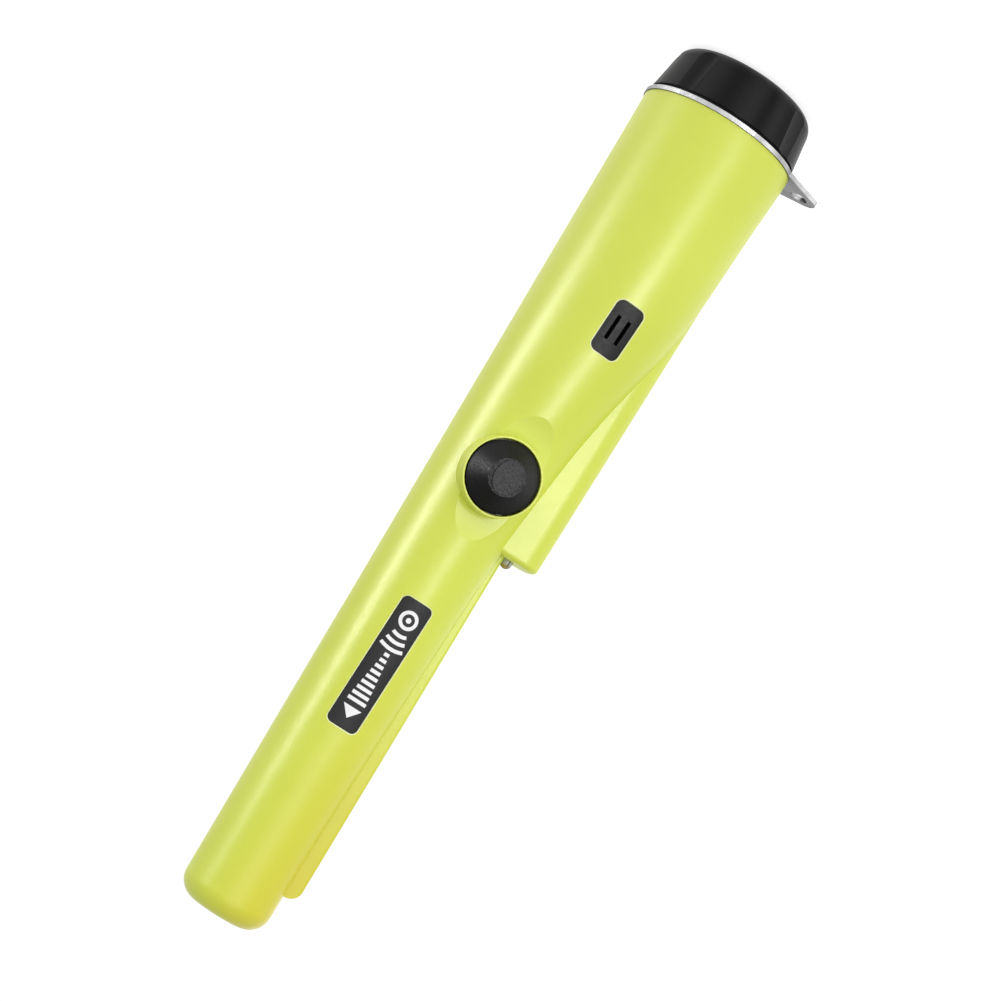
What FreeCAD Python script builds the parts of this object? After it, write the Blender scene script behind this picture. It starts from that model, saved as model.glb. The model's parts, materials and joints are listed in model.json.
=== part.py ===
import FreeCAD, Part
import math
import os
import Sketcher
from FreeCAD import Placement, Rotation, Vector

# A hand-held pinpointer probe, standing on its screw cap with the probe's tip up.
# Origin: centre of the cap's flat end face. +Z runs to the tip. The button, label and
# speaker face -Y; the scraper rib, the light block and the lanyard lug point to -X.
# The +X side of the housing is one straight line from cap to tip, the "spine".

doc = FreeCAD.newDocument("pinpointer")
sheet = doc.addObject("Spreadsheet::Sheet", "dims")

DIMENSIONS = [
    # housing skin: a straight spine on +X, a flared belly on -X
    ("rear_face", 14.8), ("rear_radius", 20.0), ("spine_taper", 0.0356), ("tip_top", 230.8),
    ("tip_round", 5.2), ("grip_wall", 1.9), ("tube_wall", 2.4), ("nose_wall", 4.0),
    # screw cap, gasket, lanyard ring
    ("cap_rim", 19.75), ("cap_end", 17.85), ("cap_round", 4.2), ("cap_top", 12.7),
    ("flute_depth", 0.75), ("flute_tool", 11.0), ("lobe_turn", 6.0), ("cap_floor", 3.0),
    ("plug_radius", 16.7), ("plug_bore", 14.7), ("plug_top", 22.9), ("mouth_radius", 17.95),
    ("mouth_top", 24.7), ("thread_pitch", 3.0), ("thread_rise", 0.9), ("thread_foot", 1.3),
    ("thread_crest", 0.6), ("thread_inset", 1.6), ("mouth_thread_tall", 5.6),
    ("plug_thread_tall", 4.2), ("boss_radius", 8.0), ("boss_top", 14.7), ("pad_top", 23.35),
    ("gasket_inner", 16.8), ("gasket_outer", 19.4), ("gasket_low", 12.75), ("gasket_high", 13.6),
    ("ring_low", 13.65), ("ring_thick", 1.1), ("ring_outer", 20.35), ("ring_bore", 17.9),
    ("lug_reach", 24.85), ("lug_radius", 4.5), ("eye_radius", 2.3),
    # scraper rib and light block
    ("rib_width", 4.6), ("rib_end", 219.6), ("rib_tip_out", 13.2), ("rib_foot_out", 10.8),
    ("rib_nose", 3.4), ("rib_edge", 0.9), ("block_front", 126.2), ("block_width", 13.8),
    ("block_out", 19.3), ("block_tail_out", 18.75), ("block_tail", 38.7), ("block_round", 4.9),
    ("block_nose", 1.3), ("block_inner", 4.9), ("block_room_out", 17.2),
    ("block_room_top", 123.2), ("block_room_low", 61.0), ("bar_root", 5.5),
    ("led_out", 12.3), ("led_radius", 1.5), ("led_hole", 1.6), ("led_tip", 128.45),
    ("led_flange", 1.95), ("led_seat", 123.15), ("holder_radius", 3.4),
    # button, its collar and the scoop in the flare
    ("button_x", 2.75), ("button_z", 112.3), ("collar_top", 16.6), ("collar_radius", 9.5),
    ("collar_foot", 9.75), ("collar_round", 0.2), ("rim_round", 0.25), ("well_radius", 8.95),
    ("well_floor", 12.6), ("boss_back", 10.6), ("button_radius", 8.6), ("button_skirt", 14.1),
    ("button_rim", 16.9), ("button_bevel", 0.45), ("button_crown", 20.9), ("crown_radius", 4.45),
    ("crown_edge", 0.2), ("hub_radius", 4.0), ("hub_sunk", 2.4), ("dish_radius", 7.5),
    ("dish_wall", 0.9), ("stem_radius", 2.2), ("stem_hole", 2.28), ("stem_end", 10.0),
    ("clip_radius", 3.5), ("clip_thick", 0.4), ("seal_radius", 5.4), ("seal_thick", 0.55),
    ("pad_long", 4.1), ("pad_short", 3.2), ("pad_sunk", 0.6), ("pad_thick", 1.0),
    ("scoop_tip", 128.4), ("scoop_rear", 94.5), ("scoop_floor", 11.6),
    ("scoop_rear_y", 15.3), ("scoop_tip_y", 12.96), ("scoop_lean", 4.0),
    # label plate and speaker grille
    ("label_x", 2.45), ("label_z", 163.1), ("label_long", 33.5), ("label_wide", 7.75),
    ("label_corner", 1.4), ("label_floor", 10.7), ("label_gap", 0.05), ("label_sunk", 0.08),
    ("grille_x", -1.25), ("grille_z", 69.5), ("grille_long", 13.3), ("grille_wide", 7.4),
    ("grille_corner", 1.7), ("grille_back", 12.8), ("grille_sunk", 0.3), ("slot_long", 6.2),
    ("slot_wide", 1.0), ("slot_apart", 2.8), ("flange_thick", 0.8), ("flange_lip", 0.6),
    ("speaker_radius", 6.0), ("speaker_thick", 2.6),
    # electronics
    ("battery_x", 0.3), ("battery_low", 23.7), ("battery_tall", 46.4), ("battery_wide", 26.5),
    ("battery_deep", 17.5), ("battery_corner", 2.5), ("stud_tall", 2.1), ("stud_apart", 12.7),
    ("deck_low", 72.7), ("deck_thick", 1.6), ("deck_radius", 14.3), ("board_front", 4.6),
    ("board_thick", 1.6), ("board_wide", 16.6), ("board_low", 77.7), ("board_long", 58.0),
    ("tray_thick", 1.8), ("tray_wide", 17.4), ("tray_low", 74.7), ("tray_long", 66.0),
    ("switch_side", 6.0), ("switch_tall", 3.5), ("switch_well_deep", 1.6),
    ("switch_travel", 0.75), ("plunger_radius", 1.7), ("plunger_top", 9.95),
    ("motor_radius", 3.0), ("motor_long", 11.0), ("motor_y", 5.4), ("motor_low", 84.7),
    ("weight_long", 3.6), ("weight_radius", 2.6), ("shaft_radius", 0.5),
    ("rod_radius", 4.0), ("rod_low", 156.7), ("rod_long", 64.0), ("rod_x", 1.85),
    ("spool_low", 161.7), ("spool_long", 54.0), ("spool_wall", 1.2), ("spool_flange", 7.6),
    ("flange_width", 1.6), ("coil_radius", 6.9), ("cushion_front", 8.1), ("cushion_rear", 9.15),
    ("cushion_tall", 4.0), ("screw_head", 1.9), ("wire_radius", 0.55),
]
SIZE = {}
for row, (alias, value) in enumerate(DIMENSIONS, start=1):
    sheet.set("A%d" % row, alias)
    sheet.set("B%d" % row, str(value))
    sheet.setAlias("B%d" % row, alias)
    SIZE[alias] = float(value)

# Heights where the flared belly is given, and how far it stands out to -X there.
BELLY = [(14.8, 20.0), (34.7, 19.35), (50.7, 18.95), (62.7, 18.05), (74.7, 16.1), (86.7, 13.9),
         (98.7, 12.3), (111.7, 11.15), (126.7, 10.1), (144.7, 9.62), (166.7, 9.55),
         (188.7, 9.45), (206.0, 9.5), (220.0, 9.8), (230.8, 9.95)]
STATIONS = len(BELLY)
for number, (height, out) in enumerate(BELLY):
    for offset, (alias, value) in enumerate((("station_z%d_" % number, height),
                                             ("station_b%d_" % number, out))):
        row = len(DIMENSIONS) + 1 + 2 * number + offset
        sheet.set("A%d" % row, alias)
        sheet.set("B%d" % row, str(value))
        sheet.setAlias("B%d" % row, alias)
        SIZE[alias] = value
doc.recompute()

# Faces that rest on each other are drawn this far apart.
FIT = 0.02


class Size:
    """A number together with the sheet expression that it comes from."""

    def __init__(self, number, text):
        self.number = number
        self.text = text

    def combine(self, other, sign):
        other = size(other)
        results = {"+": self.number + other.number, "-": self.number - other.number,
                   "*": self.number * other.number}
        return Size(results[sign], "(%s %s %s)" % (self.text, sign, other.text))

    def __add__(self, other):
        return self.combine(other, "+")

    def __sub__(self, other):
        return self.combine(other, "-")

    def __mul__(self, other):
        return self.combine(other, "*")

    def __neg__(self):
        return size(0) - self


def size(value):
    return value if isinstance(value, Size) else Size(float(value), "%.4f" % value)


def d(alias):
    """The sheet cell with this alias."""
    return Size(SIZE[alias], "dims." + alias)


def half(alias):
    return d(alias) * 0.5


# ---------------------------------------------------------------- helpers

ALONG_Z = Rotation()
ALONG_MINUS_Y = Rotation(Vector(1, 0, 0), 90)


def bind(thing, **sizes):
    for name, value in sizes.items():
        value = size(value)
        setattr(thing, name, value.number)
        thing.setExpression(name, value.text)


def put(thing, x=0, y=0, z=0, turn=ALONG_Z):
    x, y, z = size(x), size(y), size(z)
    thing.Placement = Placement(Vector(x.number, y.number, z.number), turn)
    for axis, value in (("x", x), ("y", y), ("z", z)):
        thing.setExpression("Placement.Base." + axis, value.text)
    return thing


def box(name, x, y, z, long_x, long_y, long_z):
    """A box given by its lowest corner and its three lengths."""
    thing = doc.addObject("Part::Box", name)
    bind(thing, Length=long_x, Width=long_y, Height=long_z)
    return put(thing, x, y, z)


def rod(name, radius, length, x=0, y=0, z=0, turn=ALONG_Z):
    """A round rod that starts at x, y, z."""
    thing = doc.addObject("Part::Cylinder", name)
    bind(thing, Radius=radius, Height=length)
    return put(thing, x, y, z, turn)


def cone(name, radius_low, radius_high, length, x=0, y=0, z=0, turn=ALONG_Z):
    thing = doc.addObject("Part::Cone", name)
    bind(thing, Radius1=radius_low, Radius2=radius_high, Height=length)
    return put(thing, x, y, z, turn)


def join(name, *shapes):
    thing = doc.addObject("Part::MultiFuse", name)
    thing.Shapes = list(shapes)
    thing.Refine = True
    return thing


def group(name, *shapes):
    """Separate solids of one kind kept together in one node."""
    thing = doc.addObject("Part::Compound", name)
    thing.Links = list(shapes)
    return thing


def cut(name, base, *tools):
    tool = tools[0] if len(tools) == 1 else join(name + "_tools", *tools)
    thing = doc.addObject("Part::Cut", name)
    thing.Base, thing.Tool = base, tool
    thing.Refine = True
    return thing


def overlap(name, first, second):
    thing = doc.addObject("Part::Common", name)
    thing.Base, thing.Tool = first, second
    return thing


def tube(name, outer, inner, length, x=0, y=0, z=0, turn=ALONG_Z):
    outside = rod(name + "_outside", outer, length, x, y, z, turn)
    inside = rod(name + "_inside", inner, length, x, y, z, turn)
    return cut(name, outside, inside)


def round_edges(name, base, rules):
    """Round the edges of base: each rule is a test of an edge and a radius."""
    doc.recompute()
    picked = []
    for index, edge in enumerate(base.Shape.Edges, start=1):
        for test, radius in rules:
            if test(edge):
                picked.append((index, radius, radius))
                break
    thing = doc.addObject("Part::Fillet", name)
    thing.Base = base
    thing.Edges = picked
    return thing


def runs_along(axis):
    """A test for straight edges parallel to an axis, 0 to 2 for X to Z."""
    def test(edge):
        extents = (edge.BoundBox.XLength, edge.BoundBox.YLength, edge.BoundBox.ZLength)
        others = [extents[i] for i in range(3) if i != axis]
        return extents[axis] > 1e-3 and max(others) < 1e-4
    return test


def near(edge, axis, place, slack=0.05):
    middle = edge.BoundBox.Center
    return abs(middle[axis] - place) < slack


def origin_plane(body, role):
    return [part for part in body.Origin.OriginFeatures if part.Role == role][0]


def origin_axis(body, role):
    return [part for part in body.Origin.OriginFeatures if part.Role == role][0]


def new_body(name):
    body = doc.addObject("PartDesign::Body", name)
    body.Label = name
    return body


def new_sketch(body, name, role, offset=0):
    """A sketch on one of the body's origin planes, moved along its normal."""
    offset = size(offset)
    sketch = body.newObject("Sketcher::SketchObject", name)
    sketch.AttachmentSupport = [(origin_plane(body, role), "")]
    sketch.MapMode = "FlatFace"
    sketch.AttachmentOffset = Placement(Vector(0, 0, offset.number), Rotation())
    sketch.setExpression("AttachmentOffset.Base.z", offset.text)
    return sketch


def hold(sketch, kind, *where):
    """Add a driving constraint whose value is a Size."""
    value = size(where[-1])
    index = sketch.addConstraint(Sketcher.Constraint(kind, *where[:-1], value.number))
    sketch.setExpression("Constraints[%d]" % index, value.text)


def outline(sketch, corners):
    """A closed outline of straight lines through the corners."""
    count = len(corners)
    corners = [(size(x), size(y)) for x, y in corners]
    spots = [Vector(x.number, y.number, 0) for x, y in corners]
    first = sketch.GeometryCount
    for index in range(count):
        sketch.addGeometry(Part.LineSegment(spots[index], spots[(index + 1) % count]), False)
    for index in range(count):
        line, following = first + index, first + (index + 1) % count
        sketch.addConstraint(Sketcher.Constraint("Coincident", line, 2, following, 1))
    for index, (x, y) in enumerate(corners):
        hold(sketch, "DistanceX", -1, 1, first + index, 1, x)
        hold(sketch, "DistanceY", -1, 1, first + index, 1, y)


def ring_in(sketch, radius, x=0, y=0):
    """A circle in a sketch."""
    radius, x, y = size(radius), size(x), size(y)
    centre = Vector(x.number, y.number, 0)
    circle = sketch.addGeometry(Part.Circle(centre, Vector(0, 0, 1), radius.number), False)
    hold(sketch, "Radius", circle, radius)
    hold(sketch, "DistanceX", -1, 1, circle, 3, x)
    hold(sketch, "DistanceY", -1, 1, circle, 3, y)


def pad(body, name, sketch, length, middle=False):
    feature = body.newObject("PartDesign::Pad", name)
    feature.Profile = sketch
    bind(feature, Length=length)
    if middle:
        feature.Midplane = True
    body.Tip = feature
    return feature


def revolve(body, name, sketch, kind="Revolution"):
    """Turn a sketch a full circle about its own vertical axis."""
    feature = body.newObject("PartDesign::" + kind, name)
    feature.Profile = sketch
    feature.ReferenceAxis = (sketch, ["V_Axis"])
    feature.Angle = 360
    body.Tip = feature
    return feature


def turned(name, corners, x=0, y=0, z=0, turn=ALONG_Z):
    """A body of revolution from its (radius, height) outline."""
    body = new_body(name)
    sketch = new_sketch(body, name + "_profile", "XZ_Plane")
    outline(sketch, corners)
    revolve(body, name + "_turned", sketch)
    return put(body, x, y, z, turn)


# ---------------------------------------------------------------- housing

def skin(name, inset, first=0, last=STATIONS - 1, low=None, high=None):
    """A solid that follows the housing's outside, inset by a distance at each station."""
    rings = []
    for number in range(first, last + 1):
        height, belly = d("station_z%d_" % number), d("station_b%d_" % number)
        spine = d("rear_radius") - d("spine_taper") * (height - d("rear_face"))
        if number == first and low is not None:
            height = low
        if number == last and high is not None:
            height = high
        ring = doc.addObject("Part::Circle", "%s_ring%d" % (name, number))
        bind(ring, Radius=(spine + belly) * 0.5 - inset[number])
        put(ring, (spine - belly) * 0.5, 0, height)
        rings.append(ring)
    loft = doc.addObject("Part::Loft", name)
    loft.Sections = rings
    loft.Solid = True
    loft.Ruled = False
    return loft


def even(distance):
    return [distance] * STATIONS


def wall_insets():
    """The wall is thinner round the battery and thicker along the tube."""
    battery_end = 4
    return [d("grip_wall") if number <= battery_end else d("tube_wall")
            for number in range(STATIONS)]


def make_label_prism(name, grow, depth):
    """The label's rounded rectangle, from its floor outward."""
    block = box(name + "_block", d("label_x") - half("label_wide") - grow,
                -(d("label_floor") + depth), d("label_z") - half("label_long") - grow,
                d("label_wide") + size(grow) * 2, depth, d("label_long") + size(grow) * 2)
    corner = SIZE["label_corner"] + grow
    return round_edges(name, block, [(runs_along(1), corner)])


def make_grille_prism(name, grow, depth):
    """The speaker grille's rounded rectangle, from its back outward."""
    block = box(name + "_block", d("grille_x") - half("grille_wide") - grow,
                -(d("grille_back") + depth), d("grille_z") - half("grille_long") - grow,
                d("grille_wide") + size(grow) * 2, depth, d("grille_long") + size(grow) * 2)
    corner = SIZE["grille_corner"] + grow
    return round_edges(name, block, [(runs_along(1), corner)])


def make_scoop():
    """A wide round-bottomed scoop across the flare, under the button's collar."""
    low, high = SIZE["scoop_rear"], SIZE["scoop_tip"]
    low_skin, high_skin, floor = SIZE["scoop_rear_y"], SIZE["scoop_tip_y"], SIZE["scoop_floor"]
    side, clear_y, flare, width = -12, 24, 6, 30
    start, end = Vector(side, -low_skin, low), Vector(side, -high_skin, high)
    arc = Part.Arc(start, Vector(side, -floor, (low + high) / 2), end).toShape()
    corners = [end, Vector(side, -clear_y, high + flare), Vector(side, -clear_y, low - flare),
               start]
    wire = Part.Wire([arc] + Part.makePolygon(corners).Edges)
    scoop = doc.addObject("Part::Feature", "scoop")
    scoop.Shape = Part.Face(wire).extrude(Vector(width, 0, 0))
    tube_axis = Vector(SIZE["button_x"], 0, 0)
    scoop.Placement = Placement(Vector(), Rotation(Vector(0, 0, 1), -SIZE["scoop_lean"]), tube_axis)
    return scoop


def on_rim(middle, wide, long, above):
    """A test for the outer rim of a rounded-rectangle opening in the front face."""
    def test(edge):
        centre = edge.BoundBox.Center
        return (abs(centre.x - SIZE[middle + "_x"]) < SIZE[wide] / 2 + 0.2
                and abs(centre.z - SIZE[middle + "_z"]) < SIZE[long] / 2 + 0.2
                and -centre.y > above and edge.BoundBox.YLength < 1.0)
    return test


def leaning_bar(name, low_out, high_out, low, high, width, long_round, nose_round):
    """A bar along the -X side whose outer face leans from low_out to high_out."""
    tall = high - low
    deep = d(low_out) - d("bar_root")
    bar = box(name + "_bar", -d(low_out), -half(width), low, deep, d(width), tall)
    lean = math.degrees(math.atan2(SIZE[high_out] - SIZE[low_out], tall.number))
    bar.Placement = Placement(bar.Placement.Base, Rotation(Vector(0, 1, 0), -lean))

    def local(edge):
        return bar.Placement.inverse().multVec(edge.BoundBox.Center)

    def long_outer(edge):
        return edge.Length > tall.number - 0.5 and abs(local(edge).x) < 0.3

    def nose_edge(edge):
        at_top = abs(local(edge).z - tall.number) < 0.05
        return at_top and local(edge).x < bar.Length.Value - 1.0

    if nose_round < long_round:
        rounded = round_edges(name + "_long", bar, [(long_outer, long_round)])
        return round_edges(name, rounded, [(nose_edge, nose_round)])
    return round_edges(name, bar, [
        (long_outer, long_round),
        (lambda edge: nose_edge(edge) and abs(local(edge).x) < 0.3, nose_round)])


def make_shell():
    """The one-piece moulded shell, before the cap's thread is added."""
    outside = round_edges("outside_round", skin("outside", even(size(0))),
                          [(lambda edge: near(edge, 2, SIZE["tip_top"]), SIZE["tip_round"])])
    rib = leaning_bar("rib", "rib_foot_out", "rib_tip_out", d("block_front") - 5, d("rib_end"),
                      "rib_width", SIZE["rib_edge"], SIZE["rib_nose"])
    block = leaning_bar("block", "block_tail_out", "block_out", d("block_tail"),
                        d("block_front"), "block_width", SIZE["block_round"],
                        SIZE["block_nose"])
    room = skin("room", wall_insets(), low=d("mouth_top"), high=d("tip_top") - d("nose_wall"))
    block_room = box("block_room", -d("block_room_out"), -d("block_inner"), d("block_room_low"),
                     d("block_room_out") - 2, d("block_inner") * 2,
                     d("block_room_top") - d("block_room_low"))
    hollow = cut("hollow_shell", join("outer_solid", outside, rib, block), room, block_room)
    scooped = cut("scooped_shell", hollow, make_scoop())
    collar_tall = d("collar_top") - d("boss_back")
    collar = cone("collar", d("collar_foot"), d("collar_radius"), collar_tall,
                  d("button_x"), -d("boss_back"), d("button_z"), ALONG_MINUS_Y)
    deep = 8
    tools = [
        rod("button_well", d("well_radius"), deep, d("button_x"), -d("well_floor"),
            d("button_z"), ALONG_MINUS_Y),
        rod("stem_passage", d("stem_hole"), deep, d("button_x"), -d("boss_back") + 1,
            d("button_z"), ALONG_MINUS_Y),
        make_label_prism("label_recess", SIZE["label_gap"], 4),
        make_grille_prism("grille_window", 0.05, 6),
        rod("led_passage", d("led_hole"), 8, -d("led_out"), 0, d("block_room_top") - 1),
        rod("mouth", d("mouth_radius"), d("mouth_top") - d("rear_face") + 2, 0, 0,
            d("rear_face") - 1),
    ]
    shell = cut("sharp_shell", join("collared_shell", scooped, collar), *tools)
    return round_edges("shell", shell, [
        (on_rim("label", "label_wide", "label_long", SIZE["label_floor"] + 0.5), SIZE["rim_round"]),
        (on_rim("grille", "grille_wide", "grille_long", SIZE["grille_back"] + 1.2),
         SIZE["rim_round"]),
        (lambda edge: near(edge, 1, -SIZE["collar_top"]), SIZE["collar_round"])])


def tooth(body, name, foot_x, rise, middle_z):
    """The cross-section of a screw thread's ridge, its foot just inside the wall."""
    foot, crest = half("thread_foot"), half("thread_crest")
    sketch = new_sketch(body, name, "XZ_Plane")
    middle_z = size(middle_z)
    outline(sketch, [(foot_x, middle_z - foot), (foot_x, middle_z + foot),
                     (foot_x + rise, middle_z + crest), (foot_x + rise, middle_z - crest)])
    return sketch


def screw_ridge(body, name, sketch, tall):
    ridge = body.newObject("PartDesign::AdditiveHelix", name)
    ridge.Profile = sketch
    ridge.ReferenceAxis = (sketch, ["V_Axis"])
    ridge.Mode = 0
    bind(ridge, Pitch=d("thread_pitch"), Height=d(tall))
    body.Tip = ridge
    return ridge


def make_housing():
    body = new_body("housing")
    body.BaseFeature = make_shell()
    doc.recompute()
    sketch = tooth(body, "mouth_tooth", d("mouth_radius") + 0.1, -(d("thread_rise") + 0.15),
                   d("rear_face") + d("thread_inset"))
    screw_ridge(body, "mouth_thread", sketch, "mouth_thread_tall")
    return body


# ---------------------------------------------------------------- cap end

def make_battery_cap():
    body = new_body("battery_cap")
    profile = new_sketch(body, "cap_profile", "XZ_Plane")
    outline(profile, [
        (0, 0), (d("cap_end"), 0), (d("cap_rim"), d("cap_top")),
        (d("plug_radius"), d("cap_top")), (d("plug_radius"), d("plug_top")),
        (d("plug_bore"), d("plug_top")), (d("plug_bore"), d("cap_floor")),
        (d("boss_radius"), d("cap_floor")), (d("boss_radius"), d("boss_top")), (0, d("boss_top"))])
    solid = revolve(body, "cap_turned", profile)
    doc.recompute()
    end_rim = ["Edge%d" % index for index, edge in enumerate(solid.Shape.Edges, start=1)
               if near(edge, 2, 0) and len(edge.Vertexes) == 1]
    rounding = body.newObject("PartDesign::Fillet", "cap_rounding")
    rounding.Base = (solid, end_rim)
    bind(rounding, Radius=d("cap_round"))
    body.Tip = rounding
    doc.recompute()
    low = new_sketch(body, "flute_low", "XY_Plane", -1)
    ring_in(low, d("flute_tool"), d("cap_end") + d("flute_tool") - d("flute_depth"), 0)
    high = new_sketch(body, "flute_high", "XY_Plane", d("cap_top") + 0.2)
    ring_in(high, d("flute_tool"), d("cap_rim") + d("flute_tool") - d("flute_depth") * 0.45, 0)
    groove = body.newObject("PartDesign::SubtractiveLoft", "flute_cut")
    groove.Profile = low
    groove.Sections = [high]
    body.Tip = groove
    doc.recompute()
    pattern = body.newObject("PartDesign::PolarPattern", "flutes")
    pattern.Originals = [groove]
    pattern.Axis = (origin_axis(body, "Z_Axis"), [""])
    pattern.Angle = 360
    pattern.Occurrences = 8
    body.Tip = pattern
    doc.recompute()
    sketch = tooth(body, "plug_tooth", d("plug_radius") - 0.1, d("thread_rise") + 0.1,
                   d("rear_face") + d("thread_inset") + half("thread_pitch"))
    screw_ridge(body, "plug_thread", sketch, "plug_thread_tall")
    turn = Rotation(Vector(0, 0, 1), SIZE["lobe_turn"])
    body.Placement = Placement(Vector(), turn)
    return body


def make_lanyard_ring():
    """A stamped washer whose lug tapers to a rounded end with an eye in it."""
    body = new_body("lanyard_ring")
    disc = new_sketch(body, "ring_disc", "XY_Plane", d("ring_low"))
    ring_in(disc, d("ring_outer"))
    pad(body, "ring_pad", disc, d("ring_thick"))
    lug = new_sketch(body, "lug_outline", "XY_Plane", d("ring_low"))
    outline(lug, [(-d("lug_reach") - 1.6, -d("lug_radius") * 0.93),
                  (-d("ring_outer") * 0.84, -d("ring_outer") * 0.53),
                  (-d("ring_outer") * 0.84, d("ring_outer") * 0.53),
                  (-d("lug_reach") - 1.6, d("lug_radius") * 0.93)])
    pad(body, "lug_pad", lug, d("ring_thick"))
    end = new_sketch(body, "lug_end", "XY_Plane", d("ring_low"))
    ring_in(end, d("lug_radius"), -d("lug_reach"), 0)
    pad(body, "lug_end_pad", end, d("ring_thick"))
    doc.recompute()
    holes = new_sketch(body, "ring_holes", "XY_Plane", d("ring_low"))
    ring_in(holes, d("ring_bore"))
    ring_in(holes, d("eye_radius"), -d("lug_reach"), 0)
    pocket = body.newObject("PartDesign::Pocket", "ring_cut")
    pocket.Profile = holes
    pocket.Type = 1
    pocket.Midplane = True
    body.Tip = pocket
    return body


def make_cap_end():
    make_battery_cap()
    make_lanyard_ring()
    tube("cap_gasket", d("gasket_outer"), d("gasket_inner"), d("gasket_high") - d("gasket_low"),
         z=d("gasket_low"))
    foam_low = d("boss_top") + 0.05
    rod("cap_pad", d("plug_bore") - 1.7, d("pad_top") - foam_low, z=foam_low)


# ---------------------------------------------------------------- button

def button_point(y):
    """Placement words for something that starts at depth y under the button."""
    return dict(x=d("button_x"), y=-size(y), z=d("button_z"), turn=ALONG_MINUS_Y)


def make_button():
    start = d("stem_end")
    skirt, rim, crown = (d(name) - start for name in ("button_skirt", "button_rim", "button_crown"))
    hub, bevel, edge = crown - d("hub_sunk"), d("button_bevel"), d("crown_edge")
    dish, outer = d("dish_radius"), d("button_radius")
    body = turned("button_boot", [
        (0, 0), (d("stem_radius"), 0), (d("stem_radius"), hub), (d("hub_radius"), hub),
        (dish, rim - d("dish_wall")), (dish, skirt), (outer, skirt), (outer, rim - bevel),
        (outer - bevel, rim), (d("crown_radius") + edge, crown - edge),
        (d("crown_radius"), crown), (0, crown)], **button_point(start))
    seat = d("button_crown") - d("pad_sunk")
    oval = oval_prism("pad_recess", 0.03, seat, d("pad_sunk") + 1)
    cut("button_cap", body, oval)
    oval_prism("button_pad", 0, seat, d("pad_thick"))
    tube("button_clip", d("clip_radius"), d("stem_radius") + 0.01, d("clip_thick"),
         **button_point(start + 0.1))
    tube("button_seal", d("seal_radius"), d("stem_radius") + 0.06, d("seal_thick"),
         **button_point(d("well_floor") + FIT))


def oval_prism(name, grow, start, depth):
    """An oval disc, its long way along the probe, on the button's axis."""
    face = doc.addObject("Part::Ellipse", name + "_outline")
    bind(face, MajorRadius=d("pad_long") + grow, MinorRadius=d("pad_short") + grow)
    upright = ALONG_MINUS_Y.multiply(Rotation(Vector(0, 0, 1), 90))
    put(face, d("button_x"), -size(start), d("button_z"), upright)
    prism = doc.addObject("Part::Extrusion", name)
    prism.Base = face
    prism.DirMode = "Custom"
    prism.Dir = Vector(0, -1, 0)
    bind(prism, LengthFwd=depth)
    prism.Solid = True
    return prism


# ---------------------------------------------------------------- face inserts

def make_label_plate():
    cover = skin("label_skin", even(d("label_sunk")))
    prism = make_label_prism("label_prism", 0, 4)
    overlap("label_plate", cover, prism)


def make_speaker():
    cover = skin("grille_skin", even(d("grille_sunk")))
    front = overlap("grille_front", cover, make_grille_prism("grille_prism", 0, 6))
    lip, back = d("flange_lip"), d("grille_back")
    flange = box("grille_flange", d("grille_x") - half("grille_wide") - lip,
                 -back, d("grille_z") - half("grille_long") - lip, d("grille_wide") + lip * 2,
                 d("flange_thick"), d("grille_long") + lip * 2)
    slots = [box("grille_slot%d" % side, d("grille_x") + half("slot_apart") * side
                 - half("slot_wide"), -20, d("grille_z") - half("slot_long"), d("slot_wide"), 9,
                 d("slot_long")) for side in (-1, 1)]
    cut("speaker_grille", join("grille_solid", front, flange), *slots)
    speaker_back = back - d("flange_thick") - d("speaker_thick") - FIT
    can = rod("speaker_can", d("speaker_radius"), d("speaker_thick"), d("grille_x"),
              -speaker_back, d("grille_z"), ALONG_MINUS_Y)
    port = rod("speaker_port", 1.5, 1, d("grille_x"), -(speaker_back + d("speaker_thick") - 0.6),
               d("grille_z"), ALONG_MINUS_Y)
    cut("speaker", can, port)


def make_light():
    """A 3 mm lamp with a flange behind the wall and a domed front, in a glued holder."""
    flange_low, flange = d("led_seat") - 1, 1.0
    x = -d("led_out")
    dome_at = d("led_tip") - d("led_radius")
    dome = doc.addObject("Part::Sphere", "led_dome")
    bind(dome, Radius=d("led_radius"))
    put(dome, x, 0, dome_at)
    join("led", rod("led_rim", d("led_flange"), flange, x, 0, flange_low),
         rod("led_column", d("led_radius"), dome_at - flange_low, x, 0, flange_low), dome)
    tube("led_holder", d("holder_radius"), d("led_flange") + 0.05, 2.4, x, 0,
         d("block_room_top") - 2.5)


# ---------------------------------------------------------------- battery bay

def make_battery():
    low, tall = d("battery_low"), d("battery_tall")
    can = box("battery_can", d("battery_x") - half("battery_wide"), -half("battery_deep"), low,
              d("battery_wide"), d("battery_deep"), tall)
    can = round_edges("battery_case", can, [(runs_along(2), SIZE["battery_corner"])])
    top = low + tall
    studs = [rod("battery_stud", 2.9, d("stud_tall"), d("battery_x") + half("stud_apart"), 0, top),
             rod("battery_socket", 4.1, d("stud_tall"), d("battery_x") - half("stud_apart"), 0,
                 top)]
    hollow = rod("socket_hollow", 2.95, d("stud_tall"), d("battery_x") - half("stud_apart"), 0,
                 top + 0.3)
    cut("battery", join("battery_solid", can, *studs), hollow)
    snap_low = top + d("stud_tall") + FIT
    snaps = [rod("snap%d" % side, 3.9, d("deck_low") - snap_low, d("battery_x")
                 + half("stud_apart") * side, 0, snap_low) for side in (-1, 1)]
    group("battery_contacts", *snaps)
    deck = rod("deck_disc", d("deck_radius"), d("deck_thick"), 0.75, 0, d("deck_low"))
    wire_hole = rod("deck_wire_hole", 2.2, 4, 0.75, 10.6, d("deck_low") - 1)
    flat = box("deck_flat", -12, -20, d("deck_low") - 1, 25, 11.1, 4)
    cut("battery_bulkhead", deck, wire_hole, flat)


# ---------------------------------------------------------------- electronics

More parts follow.
